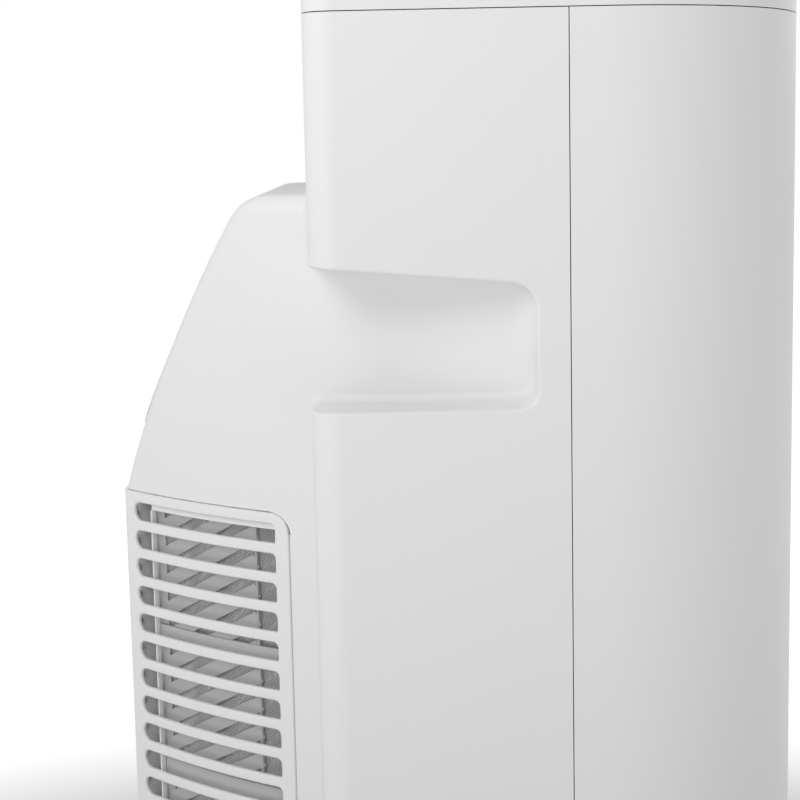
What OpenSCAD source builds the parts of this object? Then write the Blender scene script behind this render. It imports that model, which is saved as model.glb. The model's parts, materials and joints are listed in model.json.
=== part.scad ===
// Portable air conditioner: an upright cabinet on four swivel casters, with a rear hump that
// carries the condenser's intake grille and the exhaust port, and a handle recess in each side.
// Millimetres. +Z is up, the front faces -Y, and the origin is at the middle of the floor footprint.

/* [Cabinet] */
// Width across the two side faces
body_w = 440; // [430:1:450]
// Front-to-back length over the hump
depth = 366; // [364:1:368]
// Height from the floor to the top face
height = 765; // [755:1:775]
// Distance of the cabinet's rear face behind the origin
body_rear = 70; // [69:0.5:71]
// Radius of the two vertical front corners in plan
front_r = 110; // [90:1:120]
// Radius of the two vertical rear corners in plan
rear_r = 15; // [12:1:16]
// Distance of the seam between the two covers from the origin, along Y
seam_y = -55; // [-60:1:-50]
// Width of the gap at each seam between two mouldings
seam_gap = 0.5; // [0.4:0.1:0.8]
// Wall thickness of the covers
wall = 3; // [2.5:0.5:3]
// Height of the base pan's underside above the floor
base_z = 50; // [50:1:52]
// Height of the base pan's rim
rim_h = 22; // [20:1:24]
// Height of the seam under the top cover
top_seam_z = 735; // [732:1:738]
// Radius of the edge round the top face
top_edge_r = 12; // [8:1:14]

/* [Hump] */
// Radius of each side of the hump in plan
hump_r = 436.5; // [434:0.5:440]
// Plan centre of the hump's far side arc, sideways from the middle
hump_cx = 217; // [216:0.5:218]
// Plan centre of the hump's side arcs, along Y
hump_cy = -142.5; // [-143:0.5:-142]
// Height at which the rear face starts to lean forward
lean_z = 463; // [461:1:465]
// Radius of the bend where the rear face starts to lean
lean_r = 104; // [100:1:108]
// Radius of the long sloped back
slope_r = 731; // [728:1:734]
// Radius of the bend into the flat top of the hump
crown_r = 25; // [24:0.5:26]

/* [Handle recess] */
// Height of the ledge at the bottom of the recess
recess_low = 548; // [546:1:550]
// Height of the overhang above the recess, at its front end
recess_high = 606; // [604:1:608]
// Rise of the overhang towards the rear, per millimetre
recess_rise = 0.0886; // [0.08:0.001:0.1]
// Front end of the recess, along Y
recess_front = -39; // [-40:1:-36]

/* [Grille] */
// Height of the grille panel's top edge
grille_top = 484; // [483:0.5:485]
// Front edge of the grille panel, along Y
grille_front = 86.5; // [86:0.5:88]
// Vertical pitch of the slots
slot_pitch = 16; // [15.8:0.1:16]
// Height of one slot
slot_h = 10.24; // [9:0.01:11]
// Height of the highest slot's top edge
slot_top = 477.8; // [477:0.1:478]
// Number of slots, one above another
slot_count = 25; // [20:1:25]
// Radius of the panel's two upper front corners
grille_corner_r = 11; // [9:1:12]

/* [Outlet and controls] */
// Half the width of the air outlet
outlet_half = 104; // [100:1:105]
// Bottom edge of the air outlet
outlet_low = 640.5; // [640:0.5:641]
// Top edge of the air outlet
outlet_high = 706; // [704:1:708]
// Travel of a button
button_travel = 1.2; // [0.8:0.1:1.2]
// Bore radius of the exhaust collar
exhaust_r = 62.5; // [60:0.5:63]

/* [Casters] */
// Radius of a caster wheel
caster_r = 18; // [17.5:0.5:18]
// Distance of a wheel's axle from its swivel axis
caster_trail = 14; // [13:1:14]

/* [Hidden] */

$fn = 64;
front_y = -depth / 2;
rear_y = depth / 2;
half_w = body_w / 2;
base_top = base_z + rim_h;
shell_z = base_top + seam_gap;
big = 900;
white = [0.93, 0.93, 0.93];
grey = [0.62, 0.63, 0.64];
dark = [0.12, 0.12, 0.13];
steel = [0.7, 0.71, 0.73];
copper = [0.72, 0.45, 0.3];

// Side view of the hump: where its three bends meet, in (y, z)
lean_deg = 18.5;
crown_deg = 30.5;
lean_c = [rear_y - lean_r, lean_z];
slope_c = lean_c + (lean_r - slope_r) * [cos(lean_deg), sin(lean_deg)];
crown_c = slope_c + (slope_r - crown_r) * [cos(crown_deg), sin(crown_deg)];
hump_top = crown_c.y + crown_r;

// Corner radii of the recess, bottom and top
recess_r_low = 9;
recess_r_high = 13;

// Exhaust collar: a point on the sloped back, and the tilt of its axis above horizontal
port_tilt = 25;
port_r = exhaust_r + 4;
pad_r = port_r + 7;
port_c = slope_c + slope_r * [cos(port_tilt), sin(port_tilt)];
port_stand = 2;
port_len = 24;

// Casters: front pair, then rear pair
caster_xy = [[-160, -128], [160, -128], [-84, 112], [84, 112]];
stem_r = 5;
axle_r = 3;
fork_top = 46;
fork_low = 38.5;

// Fans, in the order upper then lower: centre x, centre z, wheel radius, first y, wheel width
upper_fan = [0, 588, 72, -66, 46];
lower_fan = [60, 236, 84, -74, 56];
shaft_r = 4;

// Controls on the top face
fascia_half = 80;
fascia_y = [-150, -90];
fascia_top = height - 0.8;
button_r = 6;
button_xy = [[-62, -134], [-38, -134], [-14, -134], [10, -134], [34, -134], [58, -134]];
display_size = [70, 24];
display_c = [0, -107];

// Air outlet: the flap's hinge line and the four vanes behind it
flap_y = front_y + 7.5;
flap_z = outlet_low + 8;
flap_pin_r = 2.5;
duct_low = 635;
duct_high = 712;
duct_half = outlet_half + 6;
vane_x = [-75, -25, 25, 75];
vane_y = -140;
vane_crank = 18;
pivot_r = 2;
fit_gap = 0.06;

function on_circle(c, r, a) = c + r * [cos(a), sin(a)];
function arc(c, r, a0, a1, n) = [for (i = [0:n]) on_circle(c, r, a0 + (a1 - a0) * i / n)];
function plan_angle(y) = asin((y - hump_cy) / hump_r);

// ---- Shared outlines and solids

// Plan of the cabinet without its hump, inset by d all round
module body_outline(d) {
    corner_y = front_y + front_r;
    translate([-half_w + d, corner_y]) square([body_w - 2 * d, body_rear - rear_r - corner_y]);
    translate([-half_w + front_r, front_y + d]) square([body_w - 2 * front_r, front_r + 1 - d]);
    translate([-half_w + rear_r, body_rear - rear_r - 1]) square([body_w - 2 * rear_r, rear_r + 1 - d]);
    for (s = [-1, 1]) {
        translate([s * (half_w - front_r), corner_y]) circle(front_r - d);
        translate([s * (half_w - rear_r), body_rear - rear_r]) circle(rear_r - d);
    }
}

// Plan of the hump, inset by d
module hump_outline(d) {
    intersection() {
        translate([hump_cx, hump_cy]) circle(hump_r - d);
        translate([-hump_cx, hump_cy]) circle(hump_r - d);
        translate([-half_w, 0]) square([body_w, rear_y - d]);
    }
}

// Side view of the hump, inset by d, drawn in (y, z)
module hump_profile(d) {
    polygon(concat(
        [[-20, -10], [rear_y - d, -10]],
        arc(lean_c, lean_r - d, 0, lean_deg, 4),
        arc(slope_c, slope_r - d, lean_deg, crown_deg, 8),
        arc(crown_c, crown_r - d, crown_deg, 90, 10),
        [[-20, hump_top - d]]));
}

// Stands a (y, z) outline up and extrudes it along X, centred, over a width w
module across(w) {
    translate([-w / 2, 0, 0]) rotate([90, 0, 90]) linear_extrude(w) children();
}

// The hump as a solid from height z upwards, inset by d
module hump_solid(d, z) {
    intersection() {
        translate([0, 0, z]) linear_extrude(hump_top) hump_outline(d);
        across(body_w) hump_profile(d);
    }
}

// Side view of the handle recess, grown by g, in (y, z)
module recess_profile(g) {
    rise_deg = atan(recess_rise);
    low_c = [recess_front + recess_r_low, recess_low + recess_r_low];
    high_c = [recess_front + recess_r_high, recess_high - recess_r_high];
    end_y = body_rear + 15;
    end_z = recess_high + (end_y - recess_front) * recess_rise + g;
    polygon(concat(
        arc(low_c, recess_r_low + g, 270, 180, 6),
        arc(high_c, recess_r_high + g, 180, 90 + rise_deg, 6),
        [[end_y, end_z], [end_y, recess_low - g]]));
}

// Both handle recesses as the space to cut away: outside the arc that the hump's sides follow
module recess_cuts(g) {
    for (s = [-1, 1]) {
        difference() {
            translate([s * (half_w - 20), 0, 0]) across(100) recess_profile(g);
            translate([-s * hump_cx, hump_cy, 0]) cylinder(h = height, r = hump_r - g, $fn = 128);
        }
    }
}

// A solid standing along +Y from a point, such as a shaft
module rod_y(x, y, z, r, l) {
    translate([x, y, z]) rotate([-90, 0, 0]) cylinder(h = l, r = r);
}

// Places children at the exhaust port, with +Z out along its axis
module at_port() {
    translate([0, port_c.x, port_c.y]) rotate([port_tilt - 90, 0, 0]) children();
}

// ---- Mouldings

module base_pan() {
    floor_t = 4;
    color(white) difference() {
        union() {
            difference() {
                translate([0, 0, base_z]) linear_extrude(rim_h) union() {
                    body_outline(0);
                    hump_outline(0);
                }
                translate([0, 0, base_z + floor_t]) linear_extrude(rim_h) union() {
                    body_outline(wall);
                    hump_outline(wall);
                }
            }
            for (c = caster_xy) translate([c.x, c.y, base_z + floor_t - 1]) cylinder(h = 13, r = 11);
            rod_y(0, rear_y - 20, base_z + 11, 10, 18);
        }
        for (c = caster_xy) translate([c.x, c.y, base_z - 1]) cylinder(h = 40, r = stem_r + 0.02);
        rod_y(0, rear_y - 30, base_z + 11, 6, 40);
    }
}

module front_cover() {
    color(white) difference() {
        translate([0, 0, shell_z]) linear_extrude(top_seam_z - shell_z) difference() {
            body_outline(0);
            body_outline(wall);
            translate([-big / 2, seam_y - seam_gap / 2]) square(big);
        }
        translate([-outlet_half, front_y - 5, outlet_low])
            cube([2 * outlet_half, 12, outlet_high - outlet_low]);
    }
}

module rear_cover() {
    cut_y = grille_front - seam_gap;
    cut_z = grille_top + seam_gap;
    lip = [3.4, 6];
    color(white) {
        // A flat pad stands on the sloped back round the exhaust port
        difference() {
            at_port() translate([0, 0, -6]) cylinder(h = 6.2, r = pad_r);
            at_port() translate([0, 0, -60]) cylinder(h = 120, r = port_r + 0.3);
        }
        difference() {
            union() {
                translate([0, 0, shell_z]) linear_extrude(top_seam_z - shell_z) body_outline(0);
                hump_solid(0, shell_z);
            }
            difference() {
                union() {
                    translate([0, 0, base_z]) linear_extrude(height) body_outline(wall);
                    hump_solid(wall, base_z);
                }
                recess_cuts(wall);
            }
            recess_cuts(0);
            translate([-big / 2, seam_y + seam_gap / 2 - big, 0]) cube(big);
            across(big) panel_profile(seam_gap, 0);
            at_port() translate([0, 0, -60]) cylinder(h = 120, r = port_r + 0.3);
            translate([-140, body_rear - 10, 664]) cube([280, 20, 58]);
            rod_y(188, body_rear - 20, 116, 9.3, 40);
            screw_places() rod_y(0, -20, 0, 2.1, 30);
            screw_places() rod_y(0, -1.6, 0, 4.3, 10);
        }
        // Lips behind the grille panel's top and front edges
        intersection() {
            difference() {
                hump_solid(lip[0] - 0.5, shell_z);
                hump_solid(lip[1], 0);
                translate([-big / 2, cut_y, 0]) difference() {
                    cube([big, big, cut_z]);
                    translate([big / 2, -cut_y, 0]) hump_solid(lip[0], 0);
                }
            }
            union() {
                translate([-big / 2, cut_y - 8, shell_z]) cube([big, 15, cut_z - shell_z]);
                translate([-big / 2, cut_y - 8, cut_z - 10]) cube([big, big, 18]);
            }
        }
    }
}

// The edge round the top face is a quarter circle in section
module top_cover() {
    rings = 6;
    z0 = top_seam_z + seam_gap;
    color(white) difference() {
        hull() {
            translate([0, 0, z0]) linear_extrude(1) body_outline(0, $fn = 48);
            for (i = [0:rings]) {
                a = 90 * i / rings;
                translate([0, 0, height - top_edge_r * (1 - sin(a)) - 0.01]) linear_extrude(0.01)
                    body_outline(top_edge_r * (1 - cos(a)), $fn = 48);
            }
        }
        translate([0, 0, z0 - 1]) linear_extrude(height - wall - z0 - top_edge_r + 4) body_outline(wall);
        translate([0, 0, z0 - 1]) linear_extrude(height - wall - z0 + 1) body_outline(top_edge_r);
        translate([-fascia_half, fascia_y[0], height - 20])
            cube([2 * fascia_half, fascia_y[1] - fascia_y[0], 40]);
    }
}

module control_fascia() {
    low = height - 6;
    lip = 4;
    clear = 0.3;
    size_y = fascia_y[1] - fascia_y[0];
    color(grey) difference() {
        union() {
            translate([-fascia_half + clear, fascia_y[0] + clear, low])
                cube([2 * (fascia_half - clear), size_y - 2 * clear, fascia_top - low]);
            translate([-fascia_half - lip, fascia_y[0] - lip, low])
                cube([2 * (fascia_half + lip), size_y + 2 * lip, 2.6]);
        }
        for (b = button_xy) translate([b.x, b.y, low - 1]) cylinder(h = 10, r = button_r + 0.3);
        translate([display_c.x - display_size.x / 2, display_c.y - display_size.y / 2, fascia_top - 2])
            cube([display_size.x, display_size.y, 5]);
    }
}

module display_lens() {
    clear = 0.2;
    color(dark) translate([display_c.x, display_c.y, fascia_top - 2]) linear_extrude(2)
        square([display_size.x - 2 * clear, display_size.y - 2 * clear], center = true);
}

// A round push button: cap above, flange below that holds it under the fascia
module button(i) {
    color(white) translate([button_xy[i].x, button_xy[i].y, 0]) {
        translate([0, 0, height - 9.5]) cylinder(h = 9.5, r = button_r);
        translate([0, 0, height - 9.5]) cylinder(h = 3, r = button_r + 1.5);
    }
}

module control_board() {
    top = height - 15;
    color([0.1, 0.35, 0.2]) {
        translate([-72, -145, top - 2]) cube([144, 50, 2]);
        for (b = button_xy) translate([b.x - 3, b.y - 3, top - 0.5]) cube([6, 6, 4.2]);
    }
}

module exhaust_collar() {
    flange_r = pad_r - 3;
    flange_t = port_stand - 0.4;
    color(white) at_port() difference() {
        union() {
            translate([0, 0, port_stand - port_len]) cylinder(h = port_len, r = port_r);
            translate([0, 0, port_stand - flange_t]) cylinder(h = flange_t, r = flange_r);
        }
        translate([0, 0, -60]) cylinder(h = 120, r = exhaust_r);
    }
}

module cord_gland() {
    color(grey) difference() {
        union() {
            rod_y(188, body_rear - 8, 116, 9, 14);
            rod_y(188, body_rear + 0.1, 116, 12, 3);
        }
        rod_y(188, body_rear - 20, 116, 4.5, 40);
    }
}

// Places of the screws that hold the rear cover, sunk in its rear face beside the hump
module screw_places() {
    for (s = [-1, 1], z = [180, 330, 480, 690]) translate([s * 194, body_rear, z]) children();
}

module case_screws() {
    color(steel) screw_places() difference() {
        union() {
            rod_y(0, -10, 0, 2, 9);
            rod_y(0, -1.5, 0, 4, 1.4);
        }
        translate([-0.6, -0.8, -3]) cube([1.2, 2, 6]);
        translate([-3, -0.8, -0.6]) cube([6, 2, 1.2]);
    }
}

// ---- Grille and filters

// A curved bar of the hump's side wall: inset from and to, plan angles from and to, both sides
module side_wall(inset, thick, a0, a1, z, h) {
    for (m = [0, 1]) mirror([m, 0, 0]) translate([hump_cx, hump_cy, z]) rotate([0, 0, 180 - a1])
        rotate_extrude(angle = a1 - a0, $fn = 256) translate([hump_r - inset - thick, 0]) square([thick, h]);
}

// Side view of the grille panel from height z upwards, grown by g, in (y, z)
module panel_profile(g, z) {
    c = [grille_front + grille_corner_r, grille_top - grille_corner_r];
    polygon(concat(
        [[big, z], [grille_front - g, z]],
        arc(c, grille_corner_r + g, 180, 90, 6),
        [[big, grille_top + g]]));
}

module grille_panel() {
    low = shell_z + 1.9;
    tall = grille_top - low;
    corner_a = plan_angle(rear_y);
    corner_x = hump_r * cos(corner_a) - hump_cx;
    slot_a = [plan_angle(grille_front + 7.5), plan_angle(rear_y - 6)];
    rear_half = corner_x - 10;
    mullion = 4;
    color(white) difference() {
        intersection() {
            union() {
                side_wall(0, wall, plan_angle(grille_front - 4), corner_a, low, tall);
                translate([-corner_x, rear_y - wall, low]) cube([2 * corner_x, wall, tall]);
            }
            across(big) panel_profile(0, low);
        }
        side_slots(slot_a);
        for (i = [0:slot_count - 1], s = [-1, 1])
            translate([s > 0 ? mullion / 2 : -rear_half, rear_y - 10, slot_top - slot_h - i * slot_pitch])
                cube([rear_half - mullion / 2, 20, slot_h]);
    }
}

module side_slots(a) {
    for (i = [0:slot_count - 1])
        side_wall(-5, wall + 10, a[0], a[1], slot_top - slot_h - i * slot_pitch, slot_h);
}

// A filter frame behind each side of the grille: rim, cross ribs and two uprights
module side_filters() {
    inset = 6.4;
    thick = 2.6;
    a = [plan_angle(grille_front + 9), plan_angle(rear_y - 12)];
    low = shell_z + 8;
    high = grille_top - 12;
    middle = (a[0] + a[1]) / 2;
    rim_a = 0.8;
    ribs = 5;
    bay = (high - low - 6) / ribs;
    color(grey) difference() {
        side_wall(inset, thick, a[0], a[1], low, high - low);
        for (i = [0:ribs - 1]) {
            side_wall(inset - 5, thick + 10, a[0] + rim_a, middle - 0.2, low + 6 + i * bay, bay - 6);
            side_wall(inset - 5, thick + 10, middle + 0.2, a[1] - rim_a, low + 6 + i * bay, bay - 6);
        }
    }
}

module rear_filter() {
    low = shell_z + 8;
    high = grille_top - 12;
    half = 64;
    ribs = 5;
    bay = (high - low - 6) / ribs;
    color(grey) difference() {
        translate([-half, rear_y - 8.4, low]) cube([2 * half, 2.6, high - low]);
        for (i = [0:ribs - 1], s = [-1, 1])
            translate([s > 0 ? 2 : 6 - half, rear_y - 15, low + 6 + i * bay]) cube([half - 8, 20, bay - 6]);
    }
}

module upper_grille() {
    clear = 0.4;
    color(white) difference() {
        translate([-140 + clear, body_rear - wall, 664 + clear])
            cube([280 - 2 * clear, wall, 58 - 2 * clear]);
        for (i = [0:3], j = [-1:1])
            translate([j * 90 - 42, body_rear - 10, 670 + i * 12.5]) cube([84, 20, 8]);
    }
}

module upper_filter() {
    color(grey) difference() {
        translate([-134, body_rear - 6.5, 668]) cube([268, 3, 50]);
        for (j = [-1:1]) translate([j * 88 - 41, body_rear - 10, 673]) cube([82, 20, 40]);
    }
}

// ---- Air outlet

module outlet_duct() {
    back = -86;
    t = 3;
    color(grey) difference() {
        translate([-duct_half, front_y + wall + 0.4, duct_low])
            cube([2 * duct_half, back - front_y - wall, duct_high - duct_low]);
        translate([-duct_half + t, front_y, duct_low + t])
            cube([2 * (duct_half - t), 200, duct_high - duct_low - 2 * t]);
        for (x = vane_x) translate([x, vane_y, duct_low - 5]) cylinder(h = 100, r = pivot_r + fit_gap);
        translate([-150, flap_y, flap_z]) rotate([0, 90, 0]) cylinder(h = 300, r = flap_pin_r + fit_gap);
    }
}

// The flap closes the outlet at rest and turns on a pin at each end of its lower edge
module louvre_flap() {
    half = outlet_half - 1;
    low = outlet_low + 3.6;
    high = outlet_high - 1;
    pin_x = duct_half - 0.5;
    color(white) union() {
        translate([-half, front_y, low]) cube([2 * half, 3, high - low]);
        for (s = [-1, 1]) {
            translate([s * (half - 1.5) - 1.5, front_y + 1, flap_z - 3]) cube([3, 9, 6]);
            translate([s > 0 ? half - 2 : -pin_x, flap_y, flap_z]) rotate([0, 90, 0])
                cylinder(h = pin_x - half + 2, r = flap_pin_r);
        }
    }
}

// An upright vane on its pivot, with a crank pin for the link
module vane(i) {
    low = duct_low + 23;
    high = duct_high - 6;
    color(grey) translate([vane_x[i], vane_y, 0]) {
        translate([-0.8, -16, low]) cube([1.6, 38, high - low]);
        translate([0, 0, duct_low + 0.5]) cylinder(h = duct_high - duct_low - 1, r = pivot_r);
        translate([0, vane_crank, duct_low + 14]) cylinder(h = 12, r = 1.5);
    }
}

module vane_link() {
    low = duct_low + 15;
    color(grey) difference() {
        translate([vane_x[0] - 5, vane_y + vane_crank - 3, low]) cube([vane_x[3] - vane_x[0] + 10, 6, 4]);
        for (x = vane_x) translate([x, vane_y + vane_crank, low - 5]) cylinder(h = 20, r = 1.5 + fit_gap);
    }
}

// ---- Fans

// A drum of blades between a back plate with a hub and a front ring
module blower_wheel(f) {
    blades = 24;
    color(dark) translate([f[0], f[3], f[1]]) rotate([-90, 0, 0]) difference() {
        union() {
            cylinder(h = 2.5, r = f[2]);
            cylinder(h = 18, r = 11);
            translate([0, 0, f[4] - 3]) difference() {
                cylinder(h = 3, r = f[2]);
                translate([0, 0, -1]) cylinder(h = 5, r = f[2] - 12);
            }
            for (i = [0:blades - 1]) rotate([0, 0, 360 * i / blades])
                translate([f[2] - 11, 0, 1]) rotate([0, 0, 30]) cube([11, 1.6, f[4] - 2]);
        }
        translate([0, 0, -1]) cylinder(h = 30, r = shaft_r + fit_gap);
        difference() {
            translate([0, 0, -1]) cylinder(h = f[4] + 2, r = f[2] + 12);
            translate([0, 0, -2]) cylinder(h = f[4] + 4, r = f[2]);
        }
    }
}

// A box-backed scroll round the wheel, open at the inlet behind and at the discharge on top
module blower_housing(f, front, len, top_z, neck) {
    t = 2.5;
    r = f[2] + 14;
    color(dark) difference() {
        union() {
            rod_y(f[0], front, f[1], r, len);
            translate([neck[0], front, f[1]]) cube([neck[1] - neck[0], len, top_z - f[1]]);
        }
        rod_y(f[0], front + t, f[1], r - t, len - 2 * t);
        translate([neck[0] + t, front + t, f[1]]) cube([neck[1] - neck[0] - 2 * t, len - 2 * t, big]);
        rod_y(f[0], front + len - 10, f[1], f[2] - 14, 20);
        rod_y(f[0], front - 5, f[1], shaft_r + 3, 20);
    }
}

// A can motor with its shaft, in front of a wheel
module fan_motor(f, front, len, r) {
    color(steel) {
        rod_y(f[0], front, f[1], r, len);
        rod_y(f[0], front + len - 1, f[1], shaft_r, f[3] + 17 - front - len);
    }
}

module upper_blower_wheel() { blower_wheel(upper_fan); }
module lower_blower_wheel() { blower_wheel(lower_fan); }
module upper_fan_motor() { fan_motor(upper_fan, -140, 64, 34); }
module lower_fan_motor() { fan_motor(lower_fan, -160, 74, 40); }

// The upper scroll discharges forwards through its neck into the outlet duct
module upper_blower_housing() {
    difference() {
        blower_housing(upper_fan, -74, 62, 716, [-84, 84]);
        translate([-78, -80, duct_low + 3]) cube([156, 10, duct_high - duct_low - 6]);
    }
    color(dark) translate([-84, -74, 714]) cube([168, 62, 2.5]);
}

module lower_blower_housing() { blower_housing(lower_fan, -82, 72, 392, [-36, 76]); }

// Carries the lower fan's air up and back to the exhaust collar
module exhaust_duct() {
    t = 2.5;
    half = 56;
    middle_x = 20;
    outer = [[-82, 394], [-12, 394], [-12, 420], [90, 432], [148, 476], [153, 490],
        [93, 617], [80, 610], [72, 476], [-60, 470], [-82, 440]];
    inner = [[t - 82, 390], [-12 - t, 390], [-12 - t, 422], [89, 434.6], [146, 478], [160, 492],
        [100, 622], [82.5, 609], [74.5, 473.5], [-59, 467.5], [t - 82, 439]];
    color(grey) translate([middle_x, 0, 0]) difference() {
        across(2 * half) polygon(outer);
        across(2 * (half - t)) polygon(inner);
    }
}

// ---- Refrigeration

comp_c = [-100, -70];

module compressor() {
    r = 54;
    color(dark) translate([comp_c.x, comp_c.y, 0]) {
        translate([0, 0, 76]) cylinder(h = 200, r = r);
        translate([0, 0, 275]) cylinder(h = 12, r = r - 9);
        for (i = [0:2]) rotate([0, 0, 120 * i + 90]) translate([0, -12, 76]) difference() {
            cube([r + 20, 24, 4]);
            translate([r + 10, 12, -1]) cylinder(h = 8, r = 5);
        }
        // Accumulator beside the shell, on a bracket
        translate([-r - 26, 30, 110]) cylinder(h = 120, r = 22);
        translate([-r - 20, 24, 150]) cube([r, 12, 14]);
    }
}

module compressor_grommets() {
    color(dark) translate([comp_c.x, comp_c.y, 0]) for (i = [0:2]) rotate([0, 0, 120 * i + 90])
        translate([64, 0, 0]) {
            translate([0, 0, 54.1]) cylinder(h = 21.8, r = 10);
            translate([0, 0, 75]) cylinder(h = 8, r = 4.9);
            translate([0, 0, 80.2]) cylinder(h = 3, r = 8);
        }
}

// A block of fins: width along X, depth along Y
module fin_block(w, y, d, z0, z1) {
    fin_t = 2;
    pitch = 8;
    fins = floor(w / pitch);
    color(steel) {
        for (i = [0:fins])
            translate([-fins * pitch / 2 + i * pitch - fin_t / 2, y, z0]) cube([fin_t, d, z1 - z0]);
        for (z = [z0 + 12:24:z1 - 8])
            translate([-fins * pitch / 2, y + d / 2 - 3, z]) cube([fins * pitch, 6, 6]);
    }
}

// Return bends at both ends of a coil
module coil_bends(w, y, d, z0, z1) {
    half = floor(w / 8) * 4 + 1.2;
    color(copper) for (s = [-1, 1], z = [z0 + 15:48:z1 - 34])
        translate([s * half, y + d / 2, z + 12]) rotate([0, 0, s > 0 ? 0 : 180])
            rotate([90, 0, 0]) rotate([0, 0, -90]) rotate_extrude(angle = 180) translate([12, 0]) circle(3.5);
}

evap = [270, 20, 34, 500, 720];
cond = [230, 40, 34, 84, 412];

module evaporator_coil() { fin_block(evap[0], evap[1], evap[2], evap[3], evap[4]); }
module evaporator_bends() { coil_bends(evap[0], evap[1], evap[2], evap[3], evap[4]); }
module condenser_coil() { fin_block(cond[0], cond[1], cond[2], cond[3], cond[4]); }
module condenser_bends() { coil_bends(cond[0], cond[1], cond[2], cond[3], cond[4]); }

// Suction and discharge lines: up from the compressor, sideways, then back towards the coils
module refrigerant_pipes() {
    r = 4;
    bend = 12;
    side_x = -186;
    lines = [[-120, -80, 440, 110], [-84, -80, 456, 94]];
    color(copper) for (l = lines) translate([l[0], l[1], l[2]]) {
        translate([0, 0, 288 - l[2]]) cylinder(h = l[2] - 288 - bend, r = r);
        translate([-bend, 0, -bend]) rotate([90, 0, 0])
            rotate_extrude(angle = 90) translate([bend, 0]) circle(r);
        translate([side_x - l[0] + bend, 0, 0]) rotate([0, 90, 0])
            cylinder(h = l[0] - side_x - 2 * bend, r = r);
        translate([side_x - l[0] + bend, bend, 0]) rotate([0, 0, 180])
            rotate_extrude(angle = 90) translate([bend, 0]) circle(r);
        translate([side_x - l[0], bend, 0]) rotate([-90, 0, 0]) cylinder(h = l[3], r = r);
    }
}

// Catches the evaporator's condensate and parts the cold side from the hot side
module drip_tray() {
    color(grey) difference() {
        translate([-172, -90, 480]) cube([344, 152, 14]);
        translate([-169, -87, 483]) cube([338, 146, 20]);
    }
}

module slinger_motor() {
    color(dark) {
        rod_y(168, -30, 104, 20, 40);
        rod_y(168, 9, 104, 3, 22);
        translate([160, -24, 54.1]) cube([16, 28, 40]);
    }
}

module slinger_wheel() {
    teeth = 12;
    color(grey) translate([168, 20, 104]) rotate([-90, 0, 0]) difference() {
        union() {
            cylinder(h = 4, r = 30);
            for (i = [0:teeth - 1]) rotate([0, 0, 360 * i / teeth]) translate([26, -2, 0]) cube([10, 4, 4]);
        }
        translate([0, 0, -1]) cylinder(h = 10, r = 3 + fit_gap);
    }
}

module electrical_box() {
    color(steel) difference() {
        translate([62, -146, 424]) cube([100, 60, 50]);
        translate([64, -144, 426]) cube([96, 56, 60]);
    }
}

module run_capacitor() {
    color(steel) {
        translate([160, -118, 310]) cylinder(h = 84, r = 22);
        for (s = [-1, 1]) translate([160 + 8 * s, -118, 393]) cylinder(h = 8, r = 2.4, $fn = 24);
    }
}

module drain_plug() {
    color(dark) {
        rod_y(0, rear_y - 14, base_z + 11, 5.95, 13.9);
        rod_y(0, rear_y - 17, base_z + 11, 4, 5);
    }
}

// ---- Casters

module caster_stems() {
    color(steel) for (c = caster_xy) translate([c.x, c.y, 0]) {
        translate([0, 0, fork_low - 1.9]) cylinder(h = 27, r = stem_r);
        translate([0, 0, fork_low - 1.9]) cylinder(h = 1.6, r = 7);
        translate([0, 0, fork_top + 0.3]) cylinder(h = base_z - fork_top - 0.4, r = 11);
    }
}

module caster_fork(i) {
    cheek_x = 11;
    cheek_t = 3;
    color(dark) translate([caster_xy[i].x, caster_xy[i].y, 0]) difference() {
        union() {
            translate([0, 0, fork_low]) cylinder(h = fork_top - fork_low, r = 15);
            for (x = [-cheek_x - cheek_t, cheek_x]) {
                translate([x, -8, caster_r + 4]) cube([cheek_t, 30, fork_low - caster_r]);
                translate([x, caster_trail, caster_r]) rotate([0, 90, 0]) cylinder(h = cheek_t, r = 8);
            }
            translate([-cheek_x - 1, caster_trail, caster_r]) rotate([0, 90, 0])
                cylinder(h = 2 * cheek_x + 2, r = axle_r);
        }
        translate([0, 0, fork_low - 5]) cylinder(h = 20, r = stem_r + fit_gap);
    }
}

module caster_wheel(i) {
    c = caster_xy[i];
    color(dark) translate([c.x, c.y + caster_trail, caster_r]) rotate([0, 90, 0]) difference() {
        translate([0, 0, -10]) cylinder(h = 20, r = caster_r);
        translate([0, 0, -11]) cylinder(h = 22, r = axle_r + fit_gap);
        for (s = [-1, 1]) translate([0, 0, s * 10 - 2]) difference() {
            cylinder(h = 4, r = caster_r - 4);
            translate([0, 0, -1]) cylinder(h = 6, r = 7);
        }
    }
}

base_pan();
front_cover();
rear_cover();
top_cover();
control_fascia();
display_lens();
exhaust_collar();
exhaust_duct();
cord_gland();
case_screws();
caster_stems();
compressor();
compressor_grommets();
refrigerant_pipes();
evaporator_coil();
evaporator_bends();
condenser_coil();
condenser_bends();
drip_tray();
upper_blower_housing();
lower_blower_housing();
upper_fan_motor();
lower_fan_motor();
slinger_motor();
electrical_box();
run_capacitor();
control_board();
outlet_duct();
upper_blower_wheel();
lower_blower_wheel();
slinger_wheel();
louvre_flap();
vane(0);  // vane_1
vane(1);  // vane_2
vane(2);  // vane_3
vane(3);  // vane_4
vane_link();
button(0);  // button_power
button(1);  // button_mode
button(2);  // button_fan
button(3);  // button_timer
button(4);  // button_up
button(5);  // button_down
grille_panel();
side_filters();
rear_filter();
upper_grille();
upper_filter();
caster_fork(0);  // caster_fork_1
caster_fork(1);  // caster_fork_2
caster_fork(2);  // caster_fork_3
caster_fork(3);  // caster_fork_4
caster_wheel(0);  // caster_wheel_1
caster_wheel(1);  // caster_wheel_2
caster_wheel(2);  // caster_wheel_3
caster_wheel(3);  // caster_wheel_4
drain_plug();
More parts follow.
